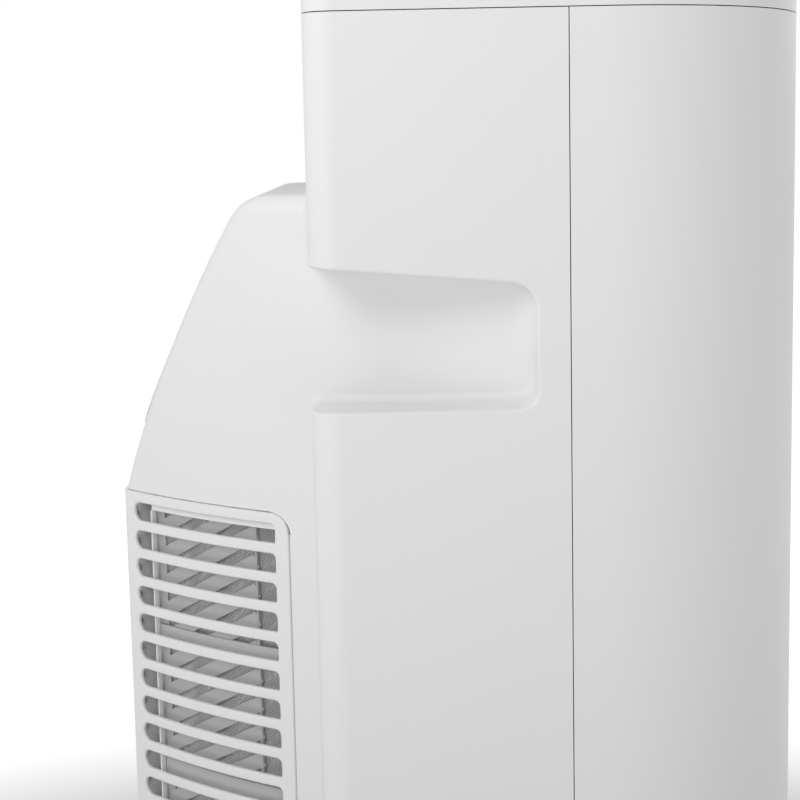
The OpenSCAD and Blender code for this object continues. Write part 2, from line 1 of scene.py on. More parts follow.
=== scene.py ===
"""Portable air conditioner: smooth mouldings, woven filters and moulded-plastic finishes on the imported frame.

Sizes are in millimetres until a mesh is made. The covers are skins of distance fields. A field gives
the distance of a point from the moulding's outside, negative inside, and one vertex is laid in each grid
cell that the surface crosses. The grille panel and its filters are laid out flat, along the wall and up
it, and then bent.
"""
import json
import math

import bmesh
import bpy
import numpy as np
from mathutils import Matrix, Vector

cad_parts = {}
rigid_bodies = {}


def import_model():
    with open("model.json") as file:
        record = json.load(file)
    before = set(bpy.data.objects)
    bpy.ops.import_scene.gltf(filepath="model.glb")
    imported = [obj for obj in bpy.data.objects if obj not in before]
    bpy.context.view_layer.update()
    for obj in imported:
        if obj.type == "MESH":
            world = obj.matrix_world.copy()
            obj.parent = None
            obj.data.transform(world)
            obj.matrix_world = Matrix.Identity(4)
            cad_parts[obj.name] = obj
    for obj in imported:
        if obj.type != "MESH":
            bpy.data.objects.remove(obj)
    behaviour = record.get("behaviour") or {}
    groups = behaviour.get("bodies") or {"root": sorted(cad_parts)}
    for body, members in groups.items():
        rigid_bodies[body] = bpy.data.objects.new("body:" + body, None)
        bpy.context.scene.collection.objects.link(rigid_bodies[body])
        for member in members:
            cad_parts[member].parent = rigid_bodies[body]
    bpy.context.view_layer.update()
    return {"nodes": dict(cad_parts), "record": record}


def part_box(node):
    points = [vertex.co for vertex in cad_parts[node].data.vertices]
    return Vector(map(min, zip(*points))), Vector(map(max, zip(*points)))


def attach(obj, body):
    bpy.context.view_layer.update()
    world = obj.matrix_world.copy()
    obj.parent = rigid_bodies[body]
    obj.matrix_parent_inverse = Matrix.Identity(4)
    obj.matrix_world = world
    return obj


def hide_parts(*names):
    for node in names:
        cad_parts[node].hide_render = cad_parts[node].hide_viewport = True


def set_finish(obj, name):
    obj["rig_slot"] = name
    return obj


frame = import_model()
MM = 0.001


def low(node, axis):
    """Lowest coordinate of a CAD node along axis 0, 1 or 2, in millimetres."""
    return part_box(node)[0][axis] / MM


def high(node, axis):
    """Highest coordinate of a CAD node along axis 0, 1 or 2, in millimetres."""
    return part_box(node)[1][axis] / MM


# ---- Sizes, from the frame where a node gives them

HALF_W = high("rear_cover", 0)
FRONT = low("front_cover", 1)
REAR = high("grille_panel", 1)
BODY_REAR = high("upper_grille", 1)
SHELL_LOW = low("rear_cover", 2)
SHELL_HIGH = high("rear_cover", 2)
SEAM = low("rear_cover", 1)
FRONT_COVER_REAR = high("front_cover", 1)
TOP_LOW = low("top_cover", 2)
TOP = high("top_cover", 2)
GRILLE_TOP = high("grille_panel", 2)
GRILLE_LOW = low("grille_panel", 2)
WALL = 3.0
GAP, FRONT_GAP = 0.5, 1.3
FRONT_R, REAR_R, TOP_R = 110.0, 15.0, 12.0

# Plan of the hump: the two side arcs and the rounded vertical edge
HUMP_CX, HUMP_CY, HUMP_R, HUMP_EDGE = 217.0, -142.5, 436.5, 10.0

# Side view of the hump: the lean, the long slope and the crown, each an arc round its centre in (y, z)
LEAN_Z, LEAN_R, SLOPE_R, CROWN_R = 463.0, 104.0, 731.0, 24.0
LEAN_A, CROWN_A = math.radians(18.5), math.radians(30.7)
LEAN_C = (REAR - LEAN_R, LEAN_Z)
SLOPE_C = (LEAN_C[0] + (LEAN_R - SLOPE_R) * math.cos(LEAN_A),
           LEAN_Z + (LEAN_R - SLOPE_R) * math.sin(LEAN_A))
CROWN_C = (SLOPE_C[0] + (SLOPE_R - CROWN_R) * math.cos(CROWN_A),
           SLOPE_C[1] + (SLOPE_R - CROWN_R) * math.sin(CROWN_A))
HUMP_TOP = CROWN_C[1] + CROWN_R

# Handle recess in each side
RECESS_LOW, RECESS_HIGH, RECESS_RISE, RECESS_FRONT = 546.5, 606.0, 0.0886, -39.0
RECESS_R_LOW, RECESS_R_HIGH, MOUTH_R = 9.0, 13.0, 1.6

# Grille panel and its slots
GRILLE_FRONT, GRILLE_CORNER_R = 86.5, 11.0
SLOT_TOP, SLOT_H, SLOT_PITCH, SLOT_COUNT = 477.8, 10.24, 16.0, 25

# Exhaust port on the slope
PORT_A, PORT_R, PAD_R = math.radians(25), 66.5, 73.5
PORT_C = (SLOPE_C[0] + SLOPE_R * math.cos(PORT_A), SLOPE_C[1] + SLOPE_R * math.sin(PORT_A))

# Sunk screws in the rear face
SCREW_X, SCREW_Z = high("case_screws", 0) - 4, (180, 330, 480, 690)


# ---- Mesh helpers

def new_object(name, verts, faces, body="root", slot="shell_white"):
    """A mesh piece from corners in millimetres, riding on a CAD body."""
    mesh = bpy.data.meshes.new(name)
    mesh.from_pydata((np.asarray(verts, float) * MM).tolist(), [], [list(map(int, f)) for f in faces])
    mesh.validate()
    obj = bpy.data.objects.new(name, mesh)
    bpy.context.scene.collection.objects.link(obj)
    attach(obj, body)
    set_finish(obj, slot)
    return obj


def add_bevel(obj, width, segments=2, angle=40, clamp=True):
    """Rounds the sharp edges and evens the shading."""
    bevel = obj.modifiers.new("edges", "BEVEL")
    bevel.width = width * MM
    bevel.segments = segments
    bevel.limit_method = "ANGLE"
    bevel.angle_limit = math.radians(angle)
    bevel.use_clamp_overlap = clamp
    obj.data.shade_smooth()
    even = obj.modifiers.new("even", "WEIGHTED_NORMAL")
    even.keep_sharp = True


def spaced(*runs):
    """Grid lines from runs of (start, end, step)."""
    lines = [np.arange(a, b, step) for a, b, step in runs]
    return np.append(np.concatenate(lines), runs[-1][1])


def mirrored(lines):
    """Grid lines on both sides of zero from those on the positive side."""
    return np.concatenate([-lines[::-1], lines[lines > 0]])


# ---- Distance fields

def round_join(a, b, cos_ab, r):
    """Inside both a and b, with the edge where they meet rounded to r. cos_ab is between their normals."""
    a, b = a + r, b + r
    both = (a > b * cos_ab) & (b > a * cos_ab)
    sin2 = np.maximum(1 - cos_ab * cos_ab, 0.05)
    edge = np.sqrt(np.maximum(a * a + b * b - 2 * a * b * cos_ab, 0) / sin2)
    return np.where(both, edge, np.maximum(a, b)) - r


def body_field(x, y):
    """The cabinet's plan outline."""
    middle, half = (FRONT + BODY_REAR) / 2, (BODY_REAR - FRONT) / 2
    r = np.where(y > middle, REAR_R, FRONT_R)
    qx, qy = np.abs(x) - HALF_W + r, np.abs(y - middle) - half + r
    return np.minimum(np.maximum(qx, qy), 0) + np.hypot(np.maximum(qx, 0), np.maximum(qy, 0)) - r


def hump_back(y, z):
    """Distance from the hump's rear and top, and the Y part of their normal."""
    lean_y, lean_z = y - LEAN_C[0], z - LEAN_C[1]
    slope_y, slope_z = y - SLOPE_C[0], z - SLOPE_C[1]
    crown_y, crown_z = y - CROWN_C[0], z - CROWN_C[1]
    slope = np.hypot(slope_y, slope_z)
    rear = y - REAR
    top = z - HUMP_TOP
    dist = np.maximum(np.maximum(slope - SLOPE_R, rear), top)
    ny = np.where(dist == rear, 1.0, np.where(dist == top, 0.0, slope_y / np.maximum(slope, 1)))
    lean_a = np.arctan2(lean_z, lean_y)
    in_lean = (lean_y > 0) & (lean_a >= 0) & (lean_a < LEAN_A)
    lean = np.hypot(lean_y, lean_z)
    crown_a = np.arctan2(crown_z, crown_y)
    in_crown = (crown_a > CROWN_A) & (crown_a < math.pi / 2)
    crown = np.hypot(crown_y, crown_z)
    dist = np.where(in_lean, lean - LEAN_R, np.where(in_crown, crown - CROWN_R, dist))
    ny = np.where(in_lean, np.cos(lean_a), np.where(in_crown, np.cos(crown_a), ny))
    return dist, ny


def hump_field(x, y, z):
    """The hump, with its vertical edges and the edge round its top rounded."""
    span = np.hypot(np.abs(x) + HUMP_CX, y - HUMP_CY)
    back, back_ny = hump_back(y, z)
    return round_join(span - HUMP_R, back, back_ny * (y - HUMP_CY) / span, HUMP_EDGE)


def recess_field(x, y, z):
    """The handle recess: a floor that twists a little, front wall and sloping ceiling, open to the rear."""
    rise = math.atan(RECESS_RISE)
    ceiling = (z - RECESS_HIGH - RECESS_RISE * (y - RECESS_FRONT)) * math.cos(rise)
    depth = HALF_W + HUMP_CX - np.sqrt(np.maximum(HUMP_R ** 2 - (y - HUMP_CY) ** 2, 1))
    floor = RECESS_LOW + (1.9 - 0.055 * y) * (HALF_W - np.abs(x)) / np.maximum(depth, 8) - z
    front = RECESS_FRONT - y
    return np.maximum(round_join(floor, front, 0.0, RECESS_R_LOW),
                      round_join(ceiling, front, math.sin(rise), RECESS_R_HIGH))


def smooth(t):
    t = np.clip(t, 0, 1)
    return t * t * (3 - 2 * t)


def rear_field(x, y, z):
    """The rear cover's outside: the cabinet less the recess, and the hump, with soft inner corners."""
    cabinet = round_join(body_field(x, y), -recess_field(x, y, z), 0.0, MOUTH_R)
    corner = 4 + 9 * smooth((z - RECESS_LOW - 6) / 26) * smooth((BODY_REAR + 4 - y) / 14)
    return -round_join(-cabinet, -hump_field(x, y, z), 0.0, corner)


def front_field(x, y, z):
    return body_field(x, y) + 0 * z


def top_field(x, y, z):
    return round_join(body_field(x, y), z - TOP, 0.0, TOP_R)


def gradient(field, p):
    step = 0.05
    parts = []
    for axis in range(3):
        d = np.zeros(3)
        d[axis] = step
        parts.append((field(*(p + d).T) - field(*(p - d).T)) / (2 * step))
    return np.stack(parts, -1)


def skin(field, lines):
    """Corners and quads of the surface where field is 0, on a grid with those lines."""
    f = field(*np.meshgrid(*lines, indexing="ij"))
    cells = tuple(n - 1 for n in f.shape)
    total, count = np.zeros(cells + (3,)), np.zeros(cells)
    edges = []
    for axis in range(3):
        others = [a for a in range(3) if a != axis]
        ahead = tuple(slice(1, None) if a == axis else slice(None) for a in range(3))
        behind = tuple(slice(None, -1) if a == axis else slice(None) for a in range(3))
        f0, f1 = f[behind], f[ahead]
        at = np.argwhere((f0 < 0) != (f1 < 0))
        v0, v1 = f0[tuple(at.T)], f1[tuple(at.T)]
        place = np.stack([lines[a][at[:, a]] for a in range(3)], -1)
        step = np.diff(lines[axis])[at[:, axis]]
        place[:, axis] += step * v0 / (v0 - v1)
        around = []
        for du, dv in ((0, 0), (-1, 0), (-1, -1), (0, -1)):
            cell = at.copy()
            cell[:, others[0]] += du
            cell[:, others[1]] += dv
            ok = np.all((cell >= 0) & (cell < cells), axis=1)
            np.add.at(total, tuple(cell[ok].T), place[ok])
            np.add.at(count, tuple(cell[ok].T), 1)
            around.append((cell, ok))
        flip = (v0 < 0) if axis != 1 else (v0 >= 0)
        edges.append((around, flip))
    used = np.argwhere(count > 0)
    index = np.full(cells, -1)
    index[tuple(used.T)] = np.arange(len(used))
    p = total[tuple(used.T)] / count[tuple(used.T)][:, None]
    for _ in range(5):
        g = gradient(field, p)
        size = np.maximum((g * g).sum(1), 0.05)
        p -= g * np.clip(field(*p.T) / size, -2, 2)[:, None]
    quads = []
    for around, flip in edges:
        whole = np.all([ok for _, ok in around], axis=0)
        corners = np.stack([index[tuple(c[whole].T)] for c, _ in around], -1)
        corners = np.where(flip[whole][:, None], corners, corners[:, ::-1])
        quads.append(corners)
    return p, np.concatenate(quads)


def cut(bm, planes, near=lambda c: True, keep_inside=False):
    """Removes the part of the mesh inside the planes, or outside them. Each plane is a point and a normal
    that points out of the region; near limits the cut to faces whose middle passes it."""
    inside = [f for f in bm.faces if near(f.calc_center_median())]
    for point, normal in planes:
        point, normal = Vector(point), Vector(normal)
        parts = {e for f in inside for e in f.edges} | {v for f in inside for v in f.verts} | set(inside)
        cut_at = bmesh.ops.bisect_plane(bm, geom=list(parts), dist=1e-4, plane_co=point, plane_no=normal)
        inside = [f for f in cut_at["geom"]
                  if isinstance(f, bmesh.types.BMFace) and (f.calc_center_median() - point).dot(normal) < 0]
    kept = set(inside)
    gone = [f for f in bm.faces if f not in kept] if keep_inside else inside
    bmesh.ops.delete(bm, geom=gone, context="FACES")


def panel_planes():
    """The region of the grille panel and the gap round it: behind its front edge and below its top edge."""
    planes = []
    centre = Vector((0, GRILLE_FRONT + GRILLE_CORNER_R, GRILLE_TOP - GRILLE_CORNER_R))
    for a in np.radians(np.linspace(180, 90, 13)):
        n = Vector((0, math.cos(a), math.sin(a)))
        r = GRILLE_CORNER_R + GAP + (FRONT_GAP - GAP) * n.y ** 2
        planes.append((centre + n * r, n))
    return planes


def round_hole(centre, across, up, r, count):
    """Planes round a hole."""
    planes = []
    for i in range(count):
        a = 2 * math.pi * i / count
        n = Vector(across) * math.cos(a) + Vector(up) * math.sin(a)
        planes.append((Vector(centre) + n * r, n))
    return planes


def shell_mesh(bm, thickness):
    """Thickens the skin inwards."""
    bmesh.ops.remove_doubles(bm, verts=bm.verts, dist=0.02)
    bmesh.ops.recalc_face_normals(bm, faces=bm.faces)
    mesh = bpy.data.meshes.new("skin")
    bm.to_mesh(mesh)
    obj = bpy.data.objects.new("skin", mesh)
    bpy.context.scene.collection.objects.link(obj)
    solid = obj.modifiers.new("wall", "SOLIDIFY")
    solid.thickness = thickness
    solid.offset = -1
    solid.use_even_offset = True
    solid.thickness_clamp = 1
    done = bpy.data.meshes.new_from_object(obj.evaluated_get(bpy.context.evaluated_depsgraph_get()))
    bpy.data.objects.remove(obj)
    bpy.data.meshes.remove(mesh)
    return done


def exact_normals(mesh, field):
    """Shades the skin's own faces from its field, so that curved and flat parts join without a line."""
    mesh.shade_smooth()
    mesh.set_sharp_from_angle(angle=math.radians(35))
    co = np.zeros(len(mesh.vertices) * 3, np.float32)
    mesh.vertices.foreach_get("co", co)
    p = co.reshape(-1, 3).astype(float) / MM
    g = gradient(field, p)
    g /= np.maximum(np.linalg.norm(g, axis=1), 1e-6)[:, None]
    on_skin = np.abs(field(*p.T)) < 0.15
    loops = np.zeros(len(mesh.loops), np.int32)
    mesh.loops.foreach_get("vertex_index", loops)
    face_n = np.zeros(len(mesh.polygons) * 3, np.float32)
    mesh.polygons.foreach_get("normal", face_n)
    sizes = np.zeros(len(mesh.polygons), np.int32)
    mesh.polygons.foreach_get("loop_total", sizes)
    face_n = np.repeat(face_n.reshape(-1, 3), sizes, axis=0)
    corner_n = np.zeros(len(mesh.loops) * 3, np.float32)
    mesh.corner_normals.foreach_get("vector", corner_n)
    corner_n = corner_n.reshape(-1, 3)
    use = on_skin[loops] & ((g[loops] * face_n).sum(1) > 0.8)
    normals = np.where(use[:, None], g[loops], corner_n)
    mesh.normals_split_custom_set(normals.tolist())


def moulding(name, field, lines, cuts, replaced, thickness=2.8):
    """A cover: the skin of field, cut, thickened and shaded. cuts is a list of arguments of cut()."""
    verts, quads = skin(field, lines)
    verts[:, 0] = np.clip(verts[:, 0], -HALF_W, HALF_W)
    mesh = bpy.data.meshes.new(name)
    mesh.from_pydata(verts.tolist(), [], quads.tolist())
    bm = bmesh.new()
    bm.from_mesh(mesh)
    for planes, options in cuts:
        cut(bm, planes, **options)
    done = shell_mesh(bm, thickness)
    bm.free()
    done.transform(Matrix.Scale(MM, 4))
    exact_normals(done, field)
    done.name = name
    obj = bpy.data.objects.new(name, done)
    bpy.context.scene.collection.objects.link(obj)
    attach(obj, "root")
    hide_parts(replaced)
    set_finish(obj, "shell_white")
    return obj


# ---- Covers

def level(z, up):
    """A plane at height z whose region is below it, or above it if up is -1."""
    return ((0, 0, z), (0, 0, up))


def make_rear_cover():
    side = spaced((0, 60, 12), (60, 96, 2.5), (96, 192, 4), (192, 216, 1.6), (216, 222, 0.8), (222, 224, 2))
    lines = [
        mirrored(side),
        spaced((SEAM - 6, -44, 4), (-44, -24, 1.2), (-24, 50, 3), (50, 76, 1.4), (76, 162, 4),
               (162, 187, 1.8)),
        spaced((SHELL_LOW - 16, 446, 15), (446, 536, 5), (536, 556, 1), (556, 592, 3), (592, 622, 1),
               (622, 654, 2), (654, 745, 13)),
    ]
    up = (0, math.sin(PORT_A), -math.cos(PORT_A))
    port = round_hole((0, PORT_C[0], PORT_C[1]), (1, 0, 0), up, PORT_R + 0.3, 64)
    intake = [((140, 0, 0), (1, 0, 0)), ((-140, 0, 0), (-1, 0, 0)), level(722, 1), level(664, -1)]
    cuts = [
        ([((0, SEAM, 0), (0, -1, 0)), level(SHELL_LOW, -1), level(SHELL_HIGH, 1)], {"keep_inside": True}),
        (panel_planes(), {"near": lambda c: c.y > 70 and c.z < 500}),
        (port, {"near": lambda c: c.y > 90 and c.z > 480}),
        (intake, {"near": lambda c: c.y > BODY_REAR - 5 and c.z > 650}),
    ]
    for x in (-SCREW_X, SCREW_X):
        for z in SCREW_Z:
            near = lambda c, x=x, z=z: c.y > BODY_REAR - 1 and abs(c.x - x) < 30 and abs(c.z - z) < 30
            cuts.append((round_hole((x, BODY_REAR, z), (1, 0, 0), (0, 0, 1), 4.3, 20), {"near": near}))
    return moulding("rear_shell", rear_field, lines, cuts, "rear_cover")


def make_front_cover():
    lines = [
        mirrored(spaced((0, 100, 20), (100, 224, 4))),
        spaced((FRONT - 4, -70, 4), (-70, FRONT_COVER_REAR + 6, 6)),
        spaced((SHELL_LOW - 20, 745, 18)),
    ]
    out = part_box("louvre_flap")
    half, z0, z1 = 104.0, 640.5, out[1].z / MM + 1
    outlet = [((half, 0, 0), (1, 0, 0)), ((-half, 0, 0), (-1, 0, 0)), level(z1, 1), level(z0, -1)]
    cuts = [
        ([((0, FRONT_COVER_REAR, 0), (0, 1, 0)), level(SHELL_LOW, -1), level(SHELL_HIGH, 1)],
         {"keep_inside": True}),
        (outlet, {"near": lambda c: c.y < FRONT + 10}),
    ]
    return moulding("front_shell", front_field, lines, cuts, "front_cover")


def make_top_cover():
    lines = [
        mirrored(spaced((0, 96, 12), (96, 200, 4), (200, 223, 1.8))),
        spaced((FRONT - 3, FRONT + 18, 1.8), (FRONT + 18, -60, 4), (-60, 50, 12), (50, 74, 1.6)),
        spaced((TOP_LOW - 5, TOP - TOP_R - 2, 4), (TOP - TOP_R - 2, TOP + 3, 1.3)),
    ]
    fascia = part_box("control_fascia")
    hole = [((80, 0, 0), (1, 0, 0)), ((-80, 0, 0), (-1, 0, 0)),
            ((0, -90, 0), (0, 1, 0)), ((0, -150, 0), (0, -1, 0))]
    cuts = [
        ([level(TOP_LOW, -1)], {"keep_inside": True}),
        (hole, {"near": lambda c: c.z > fascia[0].z / MM}),
    ]
    return moulding("top_shell", top_field, lines, cuts, "top_cover")


# ---- The wall of the grille panel, laid out flat: s along it from the hump's side to the middle, z up

ARC_START = math.asin((GRILLE_FRONT - HUMP_CY) / HUMP_R)
EDGE_Y = REAR - HUMP_EDGE
EDGE_X = math.sqrt((HUMP_R - HUMP_EDGE) ** 2 - (EDGE_Y - HUMP_CY) ** 2) - HUMP_CX
ARC_END = math.atan2(EDGE_Y - HUMP_CY, EDGE_X + HUMP_CX)
S_ARC = HUMP_R * (ARC_END - ARC_START)
S_EDGE = S_ARC + HUMP_EDGE * (math.pi / 2 - ARC_END)
S_MID = S_EDGE + EDGE_X


def s_at(y):
    """How far along the wall a place on the side arc is, from its Y."""
    return HUMP_R * (math.asin((y - HUMP_CY) / HUMP_R) - ARC_START)


def on_wall(s, z, depth, side):
    """The place s along, z up and depth behind the outer face. side is -1 on the left, 1 on the right."""
    s, z, depth = np.broadcast_arrays(np.asarray(s, float), z, depth)
    a = ARC_START + np.minimum(s, S_ARC) / HUMP_R
    e = ARC_END + np.clip(s - S_ARC, 0, S_EDGE - S_ARC) / HUMP_EDGE
    flat = np.maximum(s - S_EDGE, 0)
    on_arc = s <= S_ARC
    r_arc, r_edge = HUMP_R - depth, HUMP_EDGE - depth
    x = np.where(on_arc, r_arc * np.cos(a) - HUMP_CX, EDGE_X + r_edge * np.cos(e) - flat)
    y = np.where(on_arc, HUMP_CY + r_arc * np.sin(a), EDGE_Y + r_edge * np.sin(e))
    return np.stack([side * x, y, z], -1)


def slot_outline(s0, s1, columns, r_top, r_low):
    """Hole and cell outlines of one slot in (s, z), both anticlockwise from the top of the front end.

    The slot runs from s0, where its corners are r_top and r_low, to s1, its round end; z is from its middle.
    Each point of the hole has its partner on the cell's edge.
    """
    h = SLOT_H / 2
    cell = SLOT_PITCH / 2
    hole, edge = [], []
    front = s0 - 4
    turn = lambda c, r, a: (c[0] + r * math.cos(math.radians(a)), c[1] + r * math.sin(math.radians(a)))
    for a in (90, 120, 150, 180):
        hole.append(turn((s0 + r_top, h - r_top), r_top, a))
    hole.append((s0, 0))
    for a in (180, 210, 240, 270):
        hole.append(turn((s0 + r_low, r_low - h), r_low, a))
    edge += [(s0 + r_top, cell), (s0, cell), (front, cell), (front, cell / 2), (front, 0), (front, -cell / 2),
             (front, -cell), (s0, -cell), (s0 + r_top, -cell)]
    along = np.linspace(s0 + r_top, s1 - h, columns)[1:]
    hole += [(s, -h) for s in along]
    edge += [(s, -cell) for s in along]
    rear = s1 + 4
    hole += [turn((s1 - h, 0), h, a) for a in np.linspace(-90, 90, 9)[1:]]
    edge += [((s1 - h + rear) / 2, -cell), (rear, -cell), (rear, -cell / 2), (rear, 0), (rear, cell / 2),
             (rear, cell), ((s1 - h + rear) / 2, cell), (s1 - h, cell)]
    hole += [(s, h) for s in along[-2::-1]]
    edge += [(s, cell) for s in along[-2::-1]]
    return hole, edge, front, rear


def make_grille():
    """The pull-off grille panel in one piece: both sides and the rear face, with a slotted field in each."""
    slots = [(s_at(94), s_at(REAR - 6), 16, (2.8, 1.3)), (S_EDGE + 6, S_MID - 2, 10, (4.9, 4.9))]
    verts, faces, holes = [], [], []
    key = {}

    def corner(s, z):
        k = (round(s, 3), round(z, 3))
        if k not in key:
            key[k] = len(verts)
            verts.append([s, z])
        return key[k]

    rows = []
    for i in range(SLOT_COUNT):
        middle = SLOT_TOP - SLOT_H / 2 - i * SLOT_PITCH
        rows += [middle + SLOT_PITCH / 2, middle + 4, middle, middle - 4]
    rows.append(middle - SLOT_PITCH / 2)
    spans = []
    for s0, s1, columns, ends in slots:
        for i in range(SLOT_COUNT):
            middle = SLOT_TOP - SLOT_H / 2 - i * SLOT_PITCH
            hole, edge, front, rear = slot_outline(s0, s1, columns, *ends)
            if rear > S_MID:
                edge = [(min(s, S_MID), z) for s, z in edge]
                rear = S_MID
            inner = [corner(s, z + middle) for s, z in hole]
            outer = [corner(s, z + middle) for s, z in edge]
            n = len(inner)
            faces += [(inner[j], outer[j], outer[(j + 1) % n], inner[(j + 1) % n]) for j in range(n)]
            holes.append(inner)
        spans.append((front, rear, {round(s, 3) for s, z in edge if abs(z - SLOT_PITCH / 2) < 1e-6}))
    columns = [np.array([0, spans[0][0]]), np.linspace(spans[0][1], spans[1][0], 9)]
    for lines in columns:
        for a, b in zip(lines[:-1], lines[1:]):
            for z0, z1 in zip(rows[:-1], rows[1:]):
                faces.append((corner(a, z0), corner(b, z0), corner(b, z1), corner(a, z1)))
    line = {round(v, 3) for lines in columns for v in lines}
    line = sorted(line.union(*[on_edge for _, _, on_edge in spans]))
    for end, edge_z in ((GRILLE_TOP, rows[0]), (GRILLE_LOW, rows[-1])):
        for a, b in zip(line[:-1], line[1:]):
            faces.append((corner(a, end), corner(b, end), corner(b, edge_z), corner(a, edge_z)))
    flat = np.array(verts)
    near = (flat[:, 0] < GRILLE_CORNER_R) & (flat[:, 1] > GRILLE_TOP - GRILLE_CORNER_R)
    centre = np.array([GRILLE_CORNER_R, GRILLE_TOP - GRILLE_CORNER_R])
    away = flat - centre
    far = np.linalg.norm(away, axis=1)
    pull = near & (far > GRILLE_CORNER_R)
    flat[pull] = centre + away[pull] * (GRILLE_CORNER_R / far[pull])[:, None]
    bm = bmesh.new()
    for side in (-1, 1):
        layers = []
        for depth in (0, WALL):
            layers.append([bm.verts.new(v) for v in on_wall(flat[:, 0], flat[:, 1], depth, side)])
        for f in faces:
            bm.faces.new([layers[0][k] for k in f])
            bm.faces.new([layers[1][k] for k in f])
        rims = [(a, b) for a, b in rim_edges(faces)
                if not (abs(flat[a][0] - S_MID) < 0.01 and abs(flat[b][0] - S_MID) < 0.01)]
        for a, b in rims:
            bm.faces.new((layers[0][a], layers[0][b], layers[1][b], layers[1][a]))
    bmesh.ops.remove_doubles(bm, verts=bm.verts, dist=0.01)
    bmesh.ops.recalc_face_normals(bm, faces=bm.faces)
    bm.verts.index_update()
    obj = new_object("grille_shell", [v.co for v in bm.verts], [[v.index for v in f.verts] for f in bm.faces],
                     "grille")
    bm.free()
    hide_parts("grille_panel")
    add_bevel(obj, 1.1, 3, 60, clamp=False)
    return obj


def rim_edges(faces):
    """The edges that only one face has."""
    seen = {}
    for f in faces:
        for a, b in zip(f, f[1:] + f[:1]):
            k = (min(a, b), max(a, b))
            seen[k] = seen.get(k, 0) + 1
    return [k for k, n in seen.items() if n == 1]


class Strips:
    """Gathers bars that follow the panel's wall, as one mesh."""

    def __init__(self):
        self.verts, self.faces = [], []

    def bar(self, start, end, width, depth, side, pieces=10):
        """A flat bar from start to end in (s, z), width across it, between two depths behind the face."""
        start, end = np.array(start, float), np.array(end, float)
        along = end - start
        length = np.linalg.norm(along)
        across = np.array([-along[1], along[0]]) / length * width / 2
        base = len(self.verts)
        for t in np.linspace(0, 1, pieces + 1):
            at = start + along * t
            for sign, d in ((-1, depth[0]), (1, depth[0]), (1, depth[1]), (-1, depth[1])):
                s, z = at + across * sign
                self.verts.append(on_wall(s, z, d, side))
        for i in range(pieces):
            k = base + 4 * i
            for a, b in ((0, 1), (1, 2), (2, 3), (3, 0)):
                self.faces.append((k + a, k + b, k + 4 + b, k + 4 + a))
        k = base + 4 * pieces
        self.faces += [(base + 3, base + 2, base + 1, base), (k, k + 1, k + 2, k + 3)]

    def slanted(self, s0, s1, z0, z1, slope, pitch, width, depth, side, pieces=10, first=0.0):
        """Parallel bars at a slope, cut off at the rectangle s0..s1, z0..z1. first moves them all up."""
        reach = (s1 - s0) * abs(slope)
        start = first + (z0 - reach if slope > 0 else z0)
        for z in np.arange(start, z1 + (0 if slope > 0 else reach), pitch):
            ends = clip_line(s0, s1, z0, z1, z, slope)
            if ends and math.dist(*ends) > 2 * width:
                self.bar(ends[0], ends[1], width, depth, side, pieces)

    def to_object(self, name, body, slot):
        return new_object(name, self.verts, self.faces, body, slot)


def clip_line(s0, s1, z0, z1, z, slope):
    """The part of the line that starts at (s0, z) and rises by slope that is inside the rectangle."""
    t0, t1 = 0.0, s1 - s0
    for bound, sign in ((z0, 1), (z1, -1)):
        rate, room = sign * slope, sign * (z - bound)
        if rate > 0:
            t0 = max(t0, -room / rate)
        elif rate < 0:
            t1 = min(t1, room / -rate)
        elif room < 0:
            return None
    return ((s0 + t0, z + slope * t0), (s0 + t1, z + slope * t1)) if t1 > t0 else None


FILTER_LOW, FILTER_HIGH = 84.0, 478.0
FILTER_DEPTH = (6.4, 8.6)
FILTER_RAILS = (163, 245, 326, 403.8)
RIB_SLOPE, RIB_PITCH, RIB_WIDTH = -0.517, 15.7, 8.4
STRAND_SLOPES, STRAND_PITCH, STRAND_WIDTH = (-0.9, 1.1), 1.9, 0.66


def make_side_filters():
    """Filter frames behind the side slots: posts, cross rails, broad slanted ribs and a woven screen."""
    frame_bars, screen = Strips(), Strips()
    s0, s1 = s_at(95.5), s_at(170.5)
    post = s_at(109)
    rail_depth = (FILTER_DEPTH[0] - 0.4, FILTER_DEPTH[1])
    for side in (-1, 1):
        for s, width in ((s0 + 1.2, 2.4), (post, 1.6)):
            frame_bars.bar((s, FILTER_LOW), (s, FILTER_HIGH), width, FILTER_DEPTH, side, 1)
        frame_bars.bar((s1 - 5, FILTER_LOW), (s1 - 5, FILTER_HIGH), 8, (FILTER_DEPTH[0] + 1, FILTER_DEPTH[1]),
                       side, 4)
        frame_bars.bar((s0, FILTER_LOW + 4), (s1, FILTER_LOW + 4), 8, rail_depth, side, 16)
        for z in FILTER_RAILS:
            frame_bars.bar((s0, z), (s1, z), 9.4, rail_depth, side, 16)
        frame_bars.bar((s0, FILTER_HIGH - 2), (s1, FILTER_HIGH - 2), 4, FILTER_DEPTH, side, 16)
        frame_bars.slanted(post, s1 - 8, FILTER_LOW, FILTER_HIGH, RIB_SLOPE, RIB_PITCH, RIB_WIDTH,
                           (FILTER_DEPTH[0] + 0.5, FILTER_DEPTH[1] - 0.2), side, first=9.5)
        for slope in STRAND_SLOPES:
            screen.slanted(s0, s1 - 8, FILTER_LOW, FILTER_HIGH, slope, STRAND_PITCH, STRAND_WIDTH,
                           (8.75, 9.1), side, 5)
    obj = frame_bars.to_object("side_filter_frames", "grille", "filter_grey")
    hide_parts("side_filters")
    add_bevel(obj, 0.3, 1)
    screen.to_object("side_filter_screens", "grille", "filter_grey")


